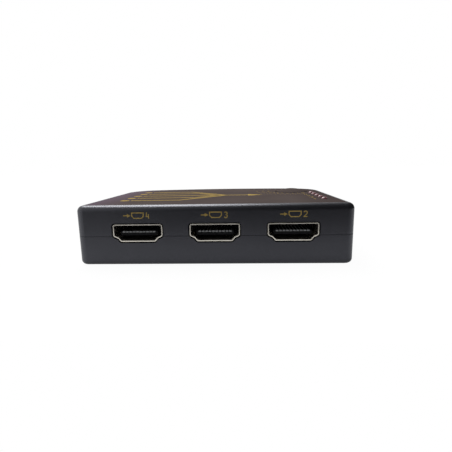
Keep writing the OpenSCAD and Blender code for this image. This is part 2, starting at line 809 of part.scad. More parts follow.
module jack_spring_shape() {
    low = jack_z - jack_bore_d / 2;
    across_x(-jack_x, 1.4) polygon([
        [jack_back_y + jack_end_t + 0.6, low - 0.3],
        [jack_face_y - 1, low - 0.3],
        [jack_face_y - 1, low],
        [jack_face_y - 2, low + 0.35],
        [jack_face_y - 3.4, low],
        [jack_back_y + jack_end_t + 0.6, low],
    ]);
    box_on([-jack_x, jack_back_y + jack_end_t + 1.2, board_top], [1.4, 1.2, low - board_top]);
}

module jack_pin_shape() {
    tail_y = jack_back_y - jack_tail_t;
    tail_h = jack_z + jack_tail_w / 2 - board_top;
    at_jack() translate([0, 0, tail_y])
        cylinder(d = jack_pin_d, h = jack_mouth_y - jack_pin_set_in - tail_y);
    translate([-jack_x - jack_tail_w / 2, tail_y, board_top]) cube([jack_tail_w, jack_tail_t, tail_h]);
}

module power_jack_housing() {
    color(chip_black) difference() {
        union() {
            translate([-jack_x - jack_w / 2, jack_back_y, board_top]) cube([jack_w, jack_len, jack_h]);
            at_jack() translate([0, 0, jack_face_y - 1])
                cylinder(d = jack_nose_d, h = jack_mouth_y - jack_face_y + 1);
        }
        at_jack() translate([0, 0, jack_back_y + jack_end_t]) cylinder(d = jack_bore_d, h = case_d);
        jack_spring_shape();
        jack_pin_shape();
    }
}

module power_jack_pin() {
    color(bright_metal) jack_pin_shape();
}

module power_jack_spring() {
    color(gold) jack_spring_shape();
}

// Circuit board and the parts on it

module main_board() {
    color(board_green) difference() {
        case_prism(wall + board_gap, board_bottom, board_top);
        for (at = screws) translate([at.x, at.y, board_bottom - 1])
            cylinder(d = screw_d + 2 * screw_gap, h = board_t + 2);
        for (port = ports) at_port(port) shell_legs(leg_gap);
    }
}

// Rows of flat leads on the sides of a chip, drawn about the chip's middle
module lead_row(count, pitch, from_middle, width, height) {
    for (i = [0:count - 1]) across_x((i - (count - 1) / 2) * pitch, width) polygon([
        [from_middle, height],
        [from_middle + 0.3, height],
        [from_middle + 0.3, 0.15],
        [from_middle + 0.9, 0.15],
        [from_middle + 0.9, 0],
        [from_middle, 0],
    ]);
}

// The small capacitors stand in two columns beside the switch chip, the crystal between one and a side port
small_x = chip_w / 2 + 3.5;
chip_at = [0, side_port_y + 1, board_top];
controller_at = [small_x + controller_len / 2 + 3, chip_at.y + 10, board_top];
regulator_at = [-small_x - 4.5, chip_at.y + 9.5, board_top];
capacitor_at = [-surge_x + 0.5 - can_d / 5, chip_at.y + 11.5, board_top];
crystal_at = [neat((small_x + small_len / 2 + surge_x - 0.5) / 2), chip_at.y - 6, board_top];

module switch_chip() {
    color(chip_black) box_on(chip_at, [chip_w, chip_w, chip_t]);
}

module switch_chip_leads() {
    pitch = (chip_w - 1.5) / chip_leads;
    color(bright_metal) translate(chip_at) for (a = [0:90:270]) rotate([0, 0, a])
        lead_row(chip_leads, pitch, chip_w / 2, pitch / 2, chip_t / 2);
}

module controller_chip() {
    color(chip_black) box_on(controller_at, [controller_len, controller_w, small_chip_h]);
}

module controller_leads() {
    color(bright_metal) translate(controller_at) for (a = [0, 180]) rotate([0, 0, a])
        lead_row(4, controller_len * 0.24, controller_w / 2, controller_len * 0.09, small_chip_h * 0.45);
}

module voltage_regulator() {
    color(chip_black) box_on(regulator_at, [regulator_w, regulator_d, small_chip_h]);
}

module regulator_leads() {
    lead_z = small_chip_h * 0.45;
    color(bright_metal) translate(regulator_at) {
        lead_row(1, 0, regulator_d / 2, regulator_w / 2, lead_z);
        rotate([0, 0, 180]) lead_row(3, regulator_w * 0.36, regulator_d / 2, regulator_w * 0.11, lead_z);
    }
}

module crystal_can() {
    x = crystal_len / 2;
    y = crystal_w / 2;
    color(bright_metal) translate(crystal_at) linear_extrude(crystal_h)
        polygon(rounded([[-x, -y], [x, -y], [x, y], [-x, y]], y * 0.95, 0.1));
}

module power_capacitor_base() {
    half_w = can_d / 2 + 0.15;
    color(insulator_black) translate(capacitor_at) linear_extrude(can_base_t)
        polygon(rounded([[-1, -1], [1, -1], [1, 1], [-1, 1]] * half_w, can_base_t, 0.1));
}

module power_capacitor() {
    color(bright_metal) translate(capacitor_at + [0, 0, can_base_t]) rotate_extrude()
        rim_section(can_d / 2, can_h - can_base_t, can_edge_r, can_edge_r / 2);
}

// Small capacitors in columns beside the switch chip and behind the regulator, small resistors in rows
resistor_y = chip_at.y + chip_w / 2 + resistor_from_chip;
small_capacitor_places = concat(
    [for (side = [-1, 1], i = [-2:2]) [side * small_x, chip_at.y + i * small_pitch]],
    [
        for (i = [0, 1])
            [regulator_at.x - regulator_w / 2 + i * small_pitch, regulator_at.y - regulator_d - small_len]
    ]
);
small_resistor_places = concat(
    [for (i = [0:5]) [(i - 2.5) * small_pitch, resistor_y]],
    [for (i = [0:4]) [(i - 2) * small_pitch, resistor_y + small_pitch]],
    [for (i = [0, 1]) [controller_at.x, controller_at.y - controller_w - small_len - i * small_pitch]]
);

module small_capacitors() {
    color([0.62, 0.48, 0.32]) for (at = small_capacitor_places)
        box_on([at.x, at.y, board_top], [small_len, small_w, small_capacitor_h]);
}

module small_resistors() {
    color(chip_black) for (at = small_resistor_places)
        box_on([at.x, at.y, board_top], [small_w, small_len, small_resistor_h]);
}

// Surge protection arrays, one behind the contacts of each port
module surge_arrays() {
    color(chip_black) for (port = ports) at_port(port)
        translate([-surge_beside, shell_len + foot_len + surge_behind, -shell_h / 2])
            box_on([0, 0, 0], [surge_w, surge_d, surge_h]);
}

// HDMI receptacle

module shell_legs(gap) {
    leg_top = step_top + 0.5;
    leg_bottom = -shell_h / 2 - board_t - 0.4;
    for (flip = [0, 1], at = [front_leg_at, rear_leg_at]) mirror([flip, 0, 0])
        translate([shell_w / 2 - sheet_t - gap, at - leg_w / 2 - gap, leg_bottom])
            cube([sheet_t + 2 * gap, leg_w + 2 * gap, leg_top - leg_bottom]);
}

// Folded sheet tube with four legs and two spring fingers that dip into the mouth
module hdmi_shell(port) {
    finger_root = 6.8;
    roof = socket_h / 2;
    color(steel) at_port(port) {
        difference() {
            along_y(0, shell_len) socket_outline(sheet_t);
            along_y(-1, shell_len + 1) socket_outline(0);
            for (x = [-1, 1])
                translate([x * socket_w / 4, finger_root - finger_len - 0.3, roof - 0.1])
                    translate([-finger_w / 2 - 0.25, 0, 0]) cube([finger_w + 0.5, finger_len + 0.3, 1]);
        }
        for (x = [-1, 1]) across_x(x * socket_w / 4, finger_w) polygon([
            [finger_root + 0.1, roof],
            [finger_root + 0.1, roof + sheet_t * 0.6],
            [finger_root, roof + sheet_t * 0.6],
            [finger_root - finger_len + 1, roof - finger_dip + sheet_t * 0.6],
            [finger_root - finger_len, roof + sheet_t * 0.6],
            [finger_root - finger_len, roof],
            [finger_root - finger_len + 1, roof - finger_dip],
            [finger_root - 0.4, roof],
        ]);
        shell_legs(0);
    }
}

// Contacts: upper and lower rows on the tongue, bent down behind the block to one row of feet
module contact_shapes() {
    upper = tongue_z + tongue_t / 2 + contact_proud;
    lower = tongue_z - tongue_t / 2 - contact_proud + contact_t;
    lower_contacts = upper_contacts - 1;
    for (i = [0:upper_contacts - 1]) {
        x = (i - (upper_contacts - 1) / 2) * contact_pitch;
        contact(x, upper, tongue_setback);
        translate([x - tip_w / 2, tongue_setback, upper - tip_h]) cube([tip_w, contact_t, tip_h]);
    }
    for (i = [0:lower_contacts - 1])
        contact((i - (lower_contacts - 1) / 2) * contact_pitch, lower, tongue_setback + lower_set_in);
}

module contact(x, top, from_y) {
    rear = shell_len;
    floor_z = -shell_h / 2;
    across_x(x, contact_w) polygon([
        [from_y, top - contact_t],
        [from_y, top],
        [rear + contact_t, top],
        [rear + contact_t, floor_z + contact_t],
        [rear + contact_t + foot_len, floor_z + contact_t],
        [rear + contact_t + foot_len, floor_z],
        [rear, floor_z],
        [rear, top - contact_t],
    ]);
}

// Block that closes the rear of the shell, with the tongue in front of it, grooved for the contacts
module hdmi_insulator(port) {
    color(insulator_black) at_port(port) difference() {
        union() {
            along_y(shell_len - block_t, shell_len) socket_outline(0);
            translate([-tongue_w / 2, tongue_setback, tongue_z - tongue_t / 2])
                cube([tongue_w, shell_len - block_t / 2 - tongue_setback, tongue_t]);
        }
        contact_shapes();
    }
}

module hdmi_contacts(port) {
    color(gold) at_port(port) contact_shapes();
}

top_shell();
bottom_cover();
top_label();
case_screws();
select_button();
switch_base();
switch_cover();
switch_dome();
switch_plunger();
switch_terminals();
light_guide();
indicator_leds();
ir_window();
ir_receiver();
ir_leads();
power_jack_housing();
power_jack_pin();
power_jack_spring();
main_board();
switch_chip();
switch_chip_leads();
controller_chip();
controller_leads();
voltage_regulator();
regulator_leads();
crystal_can();
power_capacitor();
power_capacitor_base();
small_capacitors();
small_resistors();
surge_arrays();
hdmi_shell(port_in_1);  // input_1_shell
hdmi_insulator(port_in_1);  // input_1_insulator
hdmi_contacts(port_in_1);  // input_1_contacts
hdmi_shell(port_in_2);  // input_2_shell
hdmi_insulator(port_in_2);  // input_2_insulator
hdmi_contacts(port_in_2);  // input_2_contacts
hdmi_shell(port_in_3);  // input_3_shell
hdmi_insulator(port_in_3);  // input_3_insulator
hdmi_contacts(port_in_3);  // input_3_contacts
hdmi_shell(port_in_4);  // input_4_shell
hdmi_insulator(port_in_4);  // input_4_insulator
hdmi_contacts(port_in_4);  // input_4_contacts
hdmi_shell(port_in_5);  // input_5_shell
hdmi_insulator(port_in_5);  // input_5_insulator
hdmi_contacts(port_in_5);  // input_5_contacts
hdmi_shell(port_out);  // output_shell
hdmi_insulator(port_out);  // output_insulator
hdmi_contacts(port_out);  // output_contacts
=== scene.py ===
"""Looks of the switch box: finishes, printed marks, floor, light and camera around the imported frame."""

import json
import math

import bmesh
import bpy
from mathutils import Matrix, Vector


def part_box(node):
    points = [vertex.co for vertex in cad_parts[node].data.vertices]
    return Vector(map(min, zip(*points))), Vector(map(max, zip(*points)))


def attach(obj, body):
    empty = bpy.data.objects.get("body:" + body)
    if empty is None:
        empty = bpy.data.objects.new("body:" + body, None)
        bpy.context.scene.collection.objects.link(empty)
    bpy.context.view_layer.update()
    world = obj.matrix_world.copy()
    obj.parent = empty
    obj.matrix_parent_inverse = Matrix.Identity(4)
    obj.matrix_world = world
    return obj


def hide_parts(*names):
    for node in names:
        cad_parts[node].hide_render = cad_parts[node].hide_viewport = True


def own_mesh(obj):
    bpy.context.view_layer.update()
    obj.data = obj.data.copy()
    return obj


MM = 0.001
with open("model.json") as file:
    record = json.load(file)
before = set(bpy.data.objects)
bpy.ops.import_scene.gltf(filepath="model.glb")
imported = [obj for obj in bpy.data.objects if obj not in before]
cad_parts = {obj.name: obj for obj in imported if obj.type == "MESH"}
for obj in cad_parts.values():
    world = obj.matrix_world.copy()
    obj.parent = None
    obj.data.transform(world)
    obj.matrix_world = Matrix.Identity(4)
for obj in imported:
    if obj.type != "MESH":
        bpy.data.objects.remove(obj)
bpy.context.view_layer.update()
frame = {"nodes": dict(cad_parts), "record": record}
nodes = frame["nodes"]
scene = bpy.context.scene


# Finishes


def noise(tree, coord, size_mm, detail=2.0, stretch=(1, 1, 1)):
    """Noise whose features are about size_mm across, optionally stretched along an axis."""
    mapping = tree.nodes.new("ShaderNodeMapping")
    mapping.inputs["Scale"].default_value = [1 / (size_mm * MM * s) for s in stretch]
    tree.links.new(coord.outputs["Object"], mapping.inputs["Vector"])
    texture = tree.nodes.new("ShaderNodeTexNoise")
    texture.inputs["Scale"].default_value = 1.0
    texture.inputs["Detail"].default_value = detail
    tree.links.new(mapping.outputs["Vector"], texture.inputs["Vector"])
    return texture.outputs["Fac"]


def spread(tree, value, low, high, span=(0.3, 0.7)):
    """A value's span, by default the middle of a noise's range, spread over low to high."""
    node = tree.nodes.new("ShaderNodeMapRange")
    node.inputs["From Min"].default_value = span[0]
    node.inputs["From Max"].default_value = span[1]
    node.inputs["To Min"].default_value = low
    node.inputs["To Max"].default_value = high
    tree.links.new(value, node.inputs["Value"])
    return node.outputs["Result"]


def blend(tree, factor, first, second):
    """Two colours, given or linked, mixed by a factor."""
    mix = tree.nodes.new("ShaderNodeMix")
    mix.data_type = "RGBA"
    for socket, colour in (("A", first), ("B", second)):
        if isinstance(colour, tuple):
            mix.inputs[socket].default_value = (*colour, 1)
        else:
            tree.links.new(colour, mix.inputs[socket])
    tree.links.new(factor, mix.inputs["Factor"])
    return mix.outputs["Result"]


def finish(name, colours, roughness, blotch_mm, grain_mm, bump_mm, stretch=(1, 1, 1), **sockets):
    """A mottled surface: colour and roughness wander between two values, and grain lifts the normal."""
    material = bpy.data.materials.new(name)
    material.use_nodes = True
    tree = material.node_tree
    bsdf = tree.nodes["Principled BSDF"]
    coord = tree.nodes.new("ShaderNodeTexCoord")
    blotch = noise(tree, coord, blotch_mm, 4.0)
    grain = noise(tree, coord, grain_mm, 2.0, stretch)
    tree.links.new(blend(tree, spread(tree, blotch, 0, 1), *colours), bsdf.inputs["Base Color"])
    tree.links.new(spread(tree, grain, *roughness), bsdf.inputs["Roughness"])
    bump = tree.nodes.new("ShaderNodeBump")
    bump.inputs["Strength"].default_value = 1.0
    bump.inputs["Distance"].default_value = bump_mm * MM
    tree.links.new(grain, bump.inputs["Height"])
    tree.links.new(bump.outputs["Normal"], bsdf.inputs["Normal"])
    for socket, value in sockets.items():
        bsdf.inputs[socket.replace("_", " ")].default_value = value
    return material


def paint_light_along_x(material, from_mm, to_mm, start, end):
    """Paints light and shade into a finish's colour, multiplying it by a tint that changes evenly along X.
    """
    tree = material.node_tree
    base = tree.nodes["Principled BSDF"].inputs["Base Color"]
    plain = base.links[0].from_socket
    coord = tree.nodes.new("ShaderNodeTexCoord")
    axes = tree.nodes.new("ShaderNodeSeparateXYZ")
    tree.links.new(coord.outputs["Object"], axes.inputs["Vector"])
    along = spread(tree, axes.outputs["X"], 0, 1, (from_mm * MM, to_mm * MM))
    product = tree.nodes.new("ShaderNodeMix")
    product.data_type = "RGBA"
    product.blend_type = "MULTIPLY"
    product.inputs["Factor"].default_value = 1.0
    tree.links.new(plain, product.inputs["A"])
    tree.links.new(blend(tree, along, start, end), product.inputs["B"])
    tree.links.new(product.outputs["Result"], base)
    return material


# Each finish: its two colours and two roughnesses, and the sizes of its blotches, grain and bumps
LOOKS = {
    "case_plastic": {
        "colours": [(0.0085, 0.0082, 0.0098), (0.0125, 0.0122, 0.0142)], "roughness": (0.34, 0.44),
        "blotch_mm": 9, "grain_mm": 0.35, "bump_mm": 0.008,
        "Specular_Tint": (0.86, 0.875, 1.0, 1), "Specular_IOR_Level": 0.81,
    },
    # Painted sheen: the label film's brown-grey colours are partly its own dark brown and partly a painted
    # reflection, since its specular level is 0.
    "label_film": {
        "colours": [(0.072, 0.057, 0.053), (0.085, 0.068, 0.063)], "roughness": (0.6, 0.7),
        "blotch_mm": 14, "grain_mm": 0.3, "bump_mm": 0.002, "Specular_IOR_Level": 0.0,
    },
    "gold_ink": {
        "colours": [(0.3, 0.21, 0.065), (0.39, 0.28, 0.095)], "roughness": (0.5, 0.6),
        "blotch_mm": 0.8, "grain_mm": 0.08, "bump_mm": 0.003, "Specular_IOR_Level": 0.0,
    },
    "steel": {
        "colours": [(0.48, 0.47, 0.44), (0.62, 0.61, 0.58)], "roughness": (0.28, 0.42),
        "blotch_mm": 1.5, "grain_mm": 0.2, "bump_mm": 0.002, "Metallic": 1.0,
    },
    "shell_metal": {
        "colours": [(0.74, 0.7, 0.62), (0.86, 0.82, 0.74)], "roughness": (0.26, 0.4),
        "blotch_mm": 3, "grain_mm": 0.12, "bump_mm": 0.002, "stretch": (1, 6, 1), "Metallic": 1.0,
    },
    "bright_metal": {
        "colours": [(0.66, 0.65, 0.62), (0.8, 0.79, 0.76)], "roughness": (0.22, 0.34),
        "blotch_mm": 2, "grain_mm": 0.15, "bump_mm": 0.002, "Metallic": 1.0,
    },
    "contact_metal": {
        "colours": [(0.19, 0.195, 0.2), (0.27, 0.275, 0.28)], "roughness": (0.3, 0.42),
        "blotch_mm": 0.5, "grain_mm": 0.1, "bump_mm": 0.001, "Metallic": 1.0,
    },
    "board": {
        "colours": [(0.012, 0.11, 0.05), (0.02, 0.16, 0.075)], "roughness": (0.3, 0.42),
        "blotch_mm": 2.5, "grain_mm": 0.3, "bump_mm": 0.006,
    },
    "insulator": {
        "colours": [(0.011, 0.011, 0.012), (0.017, 0.017, 0.018)], "roughness": (0.45, 0.6),
        "blotch_mm": 2, "grain_mm": 0.15, "bump_mm": 0.004, "Specular_IOR_Level": 0.0,
    },
    "chip": {
        "colours": [(0.013, 0.013, 0.014), (0.022, 0.022, 0.024)], "roughness": (0.5, 0.65),
        "blotch_mm": 1.5, "grain_mm": 0.12, "bump_mm": 0.005,
    },
    "ceramic": {
        "colours": [(0.32, 0.22, 0.13), (0.46, 0.34, 0.22)], "roughness": (0.3, 0.45),
        "blotch_mm": 0.6, "grain_mm": 0.1, "bump_mm": 0.003,
    },
    "red_clear": {
        "colours": [(0.19, 0.07, 0.08), (0.25, 0.1, 0.11)], "roughness": (0.12, 0.2),
        "blotch_mm": 1.2, "grain_mm": 0.3, "bump_mm": 0.002, "Specular_IOR_Level": 0.8,
    },
    "dark_red_clear": {
        "colours": [(0.022, 0.002, 0.004), (0.035, 0.004, 0.006)], "roughness": (0.08, 0.14),
        "blotch_mm": 2, "grain_mm": 0.4, "bump_mm": 0.001, "Coat_Weight": 0.4,
    },
    "led": {
        "colours": [(0.7, 0.62, 0.4), (0.85, 0.78, 0.55)], "roughness": (0.25, 0.35),
        "blotch_mm": 0.6, "grain_mm": 0.1, "bump_mm": 0.002,
    },
}
FINISHES = {name: finish(name, **look) for name, look in LOOKS.items()}
# Painted light on the label film: a lighter, purplish painted reflection at its left end and painted shade
# at its right end.
paint_light_along_x(FINISHES["label_film"], -40, -26, (1.55, 1.5, 2.0), (1.0, 1.0, 1.0))
paint_light_along_x(FINISHES["label_film"], 24, 40, (1.0, 1.0, 1.0), (0.74, 0.72, 0.74))

for part in frame["record"]["subparts"]:
    piece = nodes[part["node"]]
    piece.data.materials.clear()
    piece.data.materials.append(FINISHES[part["material_slot"]])


# The snap dome under the button


def make_snap_dome():
    """A welded copy of the rigid dome, which stands for it."""
    rigid = nodes["switch_dome"]
    mesh = bmesh.new()
    mesh.from_mesh(rigid.data)
    bmesh.ops.remove_doubles(mesh, verts=mesh.verts, dist=0.0005 * MM)
    data = bpy.data.meshes.new("snap_dome")
    mesh.to_mesh(data)
    mesh.free()
    data.materials.append(rigid.data.materials[0])
    dome = bpy.data.objects.new("snap_dome", data)
    scene.collection.objects.link(dome)
    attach(dome, "case")
    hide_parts("switch_dome")
    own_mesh(dome)


make_snap_dome()


# Printed marks, as thin slabs of ink. Sizes are in millimetres; u runs to the reader's right and v up.

INK_TOP = 0.02
INK_SUNK = 0.01
ROOF_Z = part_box("top_label")[1].z / MM
CASE_LOW, CASE_HIGH = (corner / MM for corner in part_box("top_shell"))
EDGE_R = 1.8
BOW_R = 150.0
BOW_Y = CASE_HIGH.y - BOW_R
MARK_RISE = 5.2
MARK_H = 1.8
MARK_LINE = 0.28
MARK_HEAD = 1.0
MARK_ARROW = 2.1
SIGN_W = 3.4
REMOTE_MARK_Z = 15.0


def lean(z):
    """How far a wall leans in at a height, where its upper edge is rounded."""
    rise = max(0.0, z - (ROOF_Z - EDGE_R))
    return EDGE_R - math.sqrt(EDGE_R**2 - rise**2)


def on_wall(origin, right):
    """Places marks on a straight wall, around an origin, for a reader whose right is given."""
    out = right.cross(Vector((0, 0, 1)))

    def place(u, v, lift):
        at = origin + u * right + Vector((0, 0, v))
        return MM * (at + (lift - lean(at.z)) * out)

    return place


def on_bow(x, z):
    """Places marks on the bowed front, around a place across it and a height."""

    def place(u, v, lift):
        turn = (u - x) / BOW_R
        reach = BOW_R + lift - lean(z + v)
        return MM * Vector((-reach * math.sin(turn), BOW_Y + reach * math.cos(turn), z + v))

    return place


def on_roof(x, y):
    """Places marks on the roof, around a place in plan, for a reader at the back panel."""
    return lambda u, v, lift: MM * Vector((x + u, y + v, ROOF_Z + lift))


def arc(u, v, radius, start, end, step=12):
    """Points along an arc, in degrees anticlockwise from the reader's right."""
    count = max(2, math.ceil(abs(end - start) / step))
    angles = [math.radians(start + (end - start) * i / count) for i in range(count + 1)]
    return [Vector((u + radius * math.cos(a), v + radius * math.sin(a))) for a in angles]


def stroke(points, width, closed=False):
    """The two edges of a line of even width, mitred at its corners."""
    points = [Vector(p) for p in points]
    left, right = [], []
    for i, here in enumerate(points):
        before = points[i - 1] if closed or i else None
        after = points[(i + 1) % len(points)] if closed or i + 1 < len(points) else None
        going = (here - before).normalized() if before else (after - here).normalized()
        leaving = (after - here).normalized() if after else going
        middle = (going + leaving).normalized()
        reach = width / 2 / max(0.5, middle.dot(going)) * Vector((-middle.y, middle.x))
        left.append(here + reach)
        right.append(here - reach)
    return left, right, closed


def disc(u, v, diameter):
    """The two edges of a round dot."""
    upper = arc(u, v, diameter / 2, 173, 7)
    return upper, [Vector((p.x, 2 * v - p.y)) for p in upper], False


def arrow(u, v, length, line, head):
    """The two edges of an arrow to the reader's right, from its tail, with a head as wide as it is long."""
    neck = length - head
    upper = [(0, line / 2), (neck, line / 2), (neck + 0.06 * head, head / 2), (length, 0.02)]
    left = [Vector((u + along, v + half)) for along, half in upper]
    right = [Vector((u + along, v - half)) for along, half in upper]
    return left, right, False


def moved(shapes, u, v, size=1.0):
    """Shapes scaled and then shifted."""

    def shifted(edge):
        return [size * p + Vector((u, v)) for p in edge]

    return [(shifted(left), shifted(right), ring) for left, right, ring in shapes]


def printed(name, shapes, place, ink=FINISHES["gold_ink"]):
    """One printed mark: each shape becomes a closed slab that lies on its surface and rides on the case."""
    mesh = bmesh.new()
    for left, right, ring in shapes:
        top_l, top_r, low_l, low_r = (
            [mesh.verts.new(place(p.x, p.y, lift)) for p in edge]
            for lift in (INK_TOP, -INK_SUNK)
            for edge in (left, right)
        )
        count = len(left)
        for i in range(count if ring else count - 1):
            j = (i + 1) % count
            mesh.faces.new((top_r[i], top_r[j], top_l[j], top_l[i]))
            mesh.faces.new((low_l[i], low_l[j], low_r[j], low_r[i]))
            mesh.faces.new((top_l[i], top_l[j], low_l[j], low_l[i]))
            mesh.faces.new((top_r[j], top_r[i], low_r[i], low_r[j]))
        if not ring:
            mesh.faces.new((top_l[0], low_l[0], low_r[0], top_r[0]))
            mesh.faces.new((top_r[-1], low_r[-1], low_l[-1], top_l[-1]))
    bmesh.ops.recalc_face_normals(mesh, faces=mesh.faces)
    data = bpy.data.meshes.new(name)
    mesh.to_mesh(data)
    mesh.free()
    data.materials.append(ink)
    piece = bpy.data.objects.new(name, data)
    scene.collection.objects.link(piece)
    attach(piece, "case")
    return piece


# Numerals are drawn one unit high, with their lower left corner at the origin
NUMERALS = {
    1: [[(0.1, 0.76), (0.34, 0.95), (0.34, 0.0)]],
    2: [[*arc(0.3, 0.68, 0.26, 165, -38), (0.04, 0.07), (0.62, 0.07)]],
    3: [[*arc(0.29, 0.72, 0.22, 150, -80), *arc(0.29, 0.28, 0.25, 80, -155)]],
    4: [[(0.16, 1.0), (0.06, 0.34), (0.375, 0.34)], [(0.45, 0.72), (0.45, 0.0)]],
    5: [[(0.56, 0.93), (0.14, 0.93), (0.1, 0.54), *arc(0.29, 0.31, 0.27, 108, -150)]],
}
NUMERAL_LINE = 0.15


def numeral(digit, u, v, height):
    return moved([stroke(line, NUMERAL_LINE) for line in NUMERALS[digit]], u, v, height)


def socket_sign(u, v, width):
    """Outline of a port's mouth, wide above and narrow below."""
    w, h = width / 2, width * 0.23
    corners = [(-w, h), (-w, -0.2 * h), (-0.66 * w, -h), (0.66 * w, -h), (w, -0.2 * h), (w, h)]
    return moved([stroke(corners, MARK_LINE, True)], u, v)


def port_mark(digit):
    """An arrow into a socket, and the number of the input."""
    into = arrow(-3.85, 0, MARK_ARROW, MARK_LINE, MARK_HEAD)
    return [into, *socket_sign(0.35, 0, SIGN_W), *numeral(digit, 2.75, -MARK_H / 2, MARK_H)]


for mount in frame["record"]["mounts"]:
    at = Vector(mount["pos_m"]) / MM + Vector((0, 0, MARK_RISE))
    axis = Vector(mount["axis"])
    if mount["name"].startswith("input_"):
        digit = int(mount["name"].split("_")[1])
        wall = CASE_HIGH if max(axis) > 0.5 else CASE_LOW
        origin = Vector([there if abs(turn) > 0.5 else here for here, there, turn in zip(at, wall, axis)])
        printed(f"input_{digit}_mark", port_mark(digit), on_wall(origin, Vector((0, 0, 1)).cross(axis)))
    elif mount["name"] == "output_port":
        out_of = arrow(0.85, 0, MARK_ARROW, MARK_LINE, MARK_HEAD)
        printed("output_mark", [*socket_sign(-1.3, 0, SIGN_W), out_of], on_bow(at.x, at.z))
    elif mount["name"] == "power_jack":
        ring = stroke(arc(0, 0, MARK_H / 2 - MARK_LINE / 2, 0, 348), MARK_LINE, True)
        printed("power_mark", [ring, disc(0, 0, 0.6)], on_bow(at.x, at.z))

window_low, window_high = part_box("ir_window")
window_x = (window_low.x + window_high.x) / 2 / MM
waves = [stroke(arc(0, -0.9, r, 40, 140), MARK_LINE) for r in (0.7, 1.25, 1.8)]
printed("remote_mark", waves, on_bow(window_x, REMOTE_MARK_Z))

# On the roof: numbers beside the indicators, five lines that join into one, and dots round the button
LED_X = 34.3
LED_FIRST_Y = -18.25
LED_PITCH = 5.15
LED_NUMERAL_H = 1.8
for i in range(5):
    shapes = numeral(i + 1, -0.3 * LED_NUMERAL_H, -LED_NUMERAL_H / 2, LED_NUMERAL_H)
    printed(f"indicator_{i + 1}_mark", shapes, on_roof(LED_X - 2.9, LED_FIRST_Y + i * LED_PITCH))

LINE_W = 1.3
ARROW_LENGTH = 44.0
ARROW_HEAD = 5.5
LINE_PITCH = 7.4
LINE_START = -28.0
LINE_GAP = 0.5
DOT_D = 3.0
JOIN_X = -5.0
JOIN_PITCH = 3.4
MIDDLE_Y = -2.0
lines = [arrow(LINE_START, 0, ARROW_LENGTH, LINE_W, ARROW_HEAD)]
for row in (-2, -1, 1, 2):
    rise = row * LINE_PITCH
    meet = math.copysign(LINE_W / 2 + LINE_GAP, row)
    join = JOIN_X + JOIN_PITCH * abs(row)
    left, right, _ = stroke([(LINE_START, rise), (join - abs(rise - meet), rise), (join, meet)], LINE_W)
    slant = math.copysign(LINE_W / math.sqrt(2), row)
    left[-1], right[-1] = Vector((join + slant, meet)), Vector((join - slant, meet))
    lines.append((left, right, False))
lines += [disc(LINE_START - LINE_GAP - DOT_D / 2, row * LINE_PITCH, DOT_D) for row in range(-2, 3)]
printed("roof_lines", lines, on_roof(0, MIDDLE_Y))

button_low, button_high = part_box("select_button")
button_x, button_y, _ = (button_low + button_high) / 2 / MM
RING_R = 9.2
RING_PITCH = 2.3
RING_FROM, RING_TO = 168, 276
SPOT_PITCH = 2.0
SPOT_D = 0.6
dots = []
for ring in range(3):
    radius = RING_R + RING_PITCH * ring
    for spot in arc(0, 0, radius, RING_FROM, RING_TO, math.degrees(SPOT_PITCH / radius)):
        dots.append(disc(spot.x, spot.y, SPOT_D - 0.08 * ring))
printed("button_dots", dots, on_roof(button_x, button_y))


# Floor, light and camera

TABLE_W = 1.6
TABLE_FRONT = -0.073
TABLE_BACK = 1.2

# How white the floor looks, straight and in mirrors
FLOOR_STRAIGHT = (0.95, 1.0)
# Painted shade: the floor in mirrors is darker towards the right.
FLOOR_BESIDE_PAINTED_SHADE = (1.0, 0.7)
# Painted shadow: the floor in mirrors is darker at the back panel's foot.
FLOOR_FOOT_PAINTED_SHADOW = (0.45, 1.0)


def combine(tree, operation, *values):
    """Values, given or linked, worked together one after another."""
    total = values[0]
    for value in values[1:]:
        node = tree.nodes.new("ShaderNodeMath")
        node.operation = operation
        for socket, term in zip(node.inputs, (total, value)):
            if isinstance(term, (int, float)):
                socket.default_value = term
            else:
                tree.links.new(term, socket)
        total = node.outputs["Value"]
    return total


def to_eye(tree, straight=1.0, mirrored=1.0):
    """How far a ray looks at the background, straight or in a mirror; 0 for rays that light things."""
    path = tree.nodes.new("ShaderNodeLightPath")
    mirror = combine(tree, "MAXIMUM", path.outputs["Is Glossy Ray"], path.outputs["Is Transmission Ray"])
    return combine(
        tree,
        "MAXIMUM",
        combine(tree, "MULTIPLY", path.outputs["Is Camera Ray"], straight),
        combine(tree, "MULTIPLY", mirror, mirrored),
    )


def floor_white(tree):
    """White floor away from the case; in mirrors it has painted shade towards the right and a painted
    contact shadow at the back panel's foot.
    """
    coord = tree.nodes.new("ShaderNodeTexCoord")
    axes = tree.nodes.new("ShaderNodeSeparateXYZ")
    away = tree.nodes.new("ShaderNodeVectorMath")
    away.operation = "LENGTH"
    for node in (axes, away):
        tree.links.new(coord.outputs["Object"], node.inputs["Vector"])
    straight = spread(tree, away.outputs["Value"], *FLOOR_STRAIGHT, (0.045, 0.075))
    # Painted shade towards the right and a painted contact shadow at the back panel's foot, both seen only
    # in mirrors.
    beside_painted_shade = spread(tree, axes.outputs["X"], *FLOOR_BESIDE_PAINTED_SHADE, (-0.05, 0.05))
    foot_painted_shadow = spread(tree, axes.outputs["Y"], *FLOOR_FOOT_PAINTED_SHADOW, (-0.030, -0.038))
    return to_eye(tree, straight, combine(tree, "MULTIPLY", beside_painted_shade, foot_painted_shadow))


